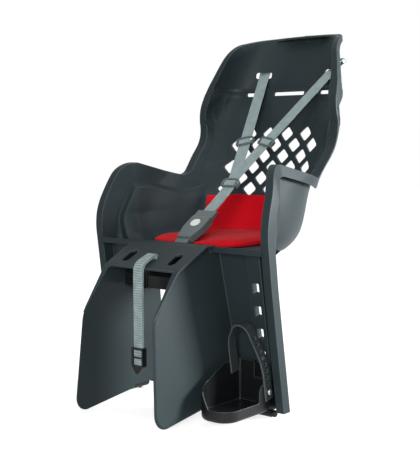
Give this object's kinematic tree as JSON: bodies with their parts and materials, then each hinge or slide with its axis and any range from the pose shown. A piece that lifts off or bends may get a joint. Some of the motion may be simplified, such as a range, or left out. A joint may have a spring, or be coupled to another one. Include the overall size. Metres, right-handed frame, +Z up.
{
  "type": "child bike seat",
  "caption": "Rear child bike seat: moulded bucket with headrest, lattice back, armrests, leg guards, harness, red cushion, sliding footrests and a clamp for a carrier.",
  "frame": {"origin": "underside of the clamp block, on the carrier, in the middle plane", "axes": "+Z up, -Y the way the child faces, +X the child's left, which is on the right seen from the front, as the node names have it"},
  "size_m": [0.3984, 0.5613, 0.6792],
  "materials": {
    "shell_plastic": "moulded, fine grain, satin",
    "cushion_cloth": "padded woven cloth with piped edge",
    "webbing": "ribbed woven webbing",
    "buckle_plastic": "moulded, satin",
    "button_plastic": "smooth",
    "black_plastic": "moulded, satin",
    "strap_rubber": "soft, smooth",
    "steel": "zinc plated"
  },
  "bodies": {
    "seat": {"seat_shell": "shell_plastic", "seat_cushion": "cushion_cloth", "shoulder_strap_left": "webbing", "shoulder_strap_right": "webbing", "crotch_strap": "webbing", "frame_strap": "webbing", "shoulder_slider_left": "buckle_plastic", "shoulder_slider_right": "buckle_plastic", "chest_slider": "buckle_plastic", "buckle_tongue": "buckle_plastic", "buckle_body": "buckle_plastic", "frame_strap_buckle": "black_plastic", "carrier_base": "black_plastic", "belt_stop_left": "steel", "belt_stop_right": "steel", "crotch_strap_bar": "steel", "frame_strap_bar": "steel", "base_bolts": "steel", "base_nuts": "steel"},
    "footrest_left": {"footrest_left": "black_plastic", "foot_strap_left": "strap_rubber", "foot_strap_stud_left": "steel", "footrest_pin_left": "black_plastic"},
    "footrest_right": {"footrest_right": "black_plastic", "foot_strap_right": "strap_rubber", "foot_strap_stud_right": "steel", "footrest_pin_right": "black_plastic"},
    "button": {"buckle_button": "button_plastic"},
    "jaw_left": {"clamp_jaw_left": "black_plastic"},
    "jaw_right": {"clamp_jaw_right": "black_plastic"},
    "screw": {"clamp_screw": "steel"}
  },
  "joints": [
    {"name": "footrest_left_slide", "type": "slide", "parent": "seat", "child": "footrest_left", "axis": [0, -0.1705, 0.9854], "range_m": [0, 0.078]},
    {"name": "footrest_right_slide", "type": "slide", "parent": "seat", "child": "footrest_right", "axis": [0, -0.1705, 0.9854], "range_m": [0, 0.078]},
    {"name": "button_press", "type": "slide", "parent": "seat", "child": "button", "axis": [0, 0.5461, -0.8377], "range_m": [0, 0.0022], "stiffness_N_per_m": 400, "springref_m": -0.002},
    {"name": "clamp_screw_turn", "type": "hinge", "parent": "seat", "child": "screw", "pos_m": [0, 0.04, 0.0125], "axis": [1, 0, 0], "range_deg": [0, 1260]},
    {"name": "jaw_right_slide", "type": "slide", "parent": "seat", "child": "jaw_right", "axis": [1, 0, 0], "range_m": [0, 0.0071]},
    {"name": "jaw_left_slide", "type": "slide", "parent": "seat", "child": "jaw_left", "axis": [-1, 0, 0], "range_m": [0, 0.0071]}
  ],
  "couplings": [
    {"joint": "jaw_right_slide", "follows": "clamp_screw_turn", "m_per_rad": 0.00031831},
    {"joint": "jaw_left_slide", "follows": "clamp_screw_turn", "m_per_rad": 0.00031831}
  ]
}
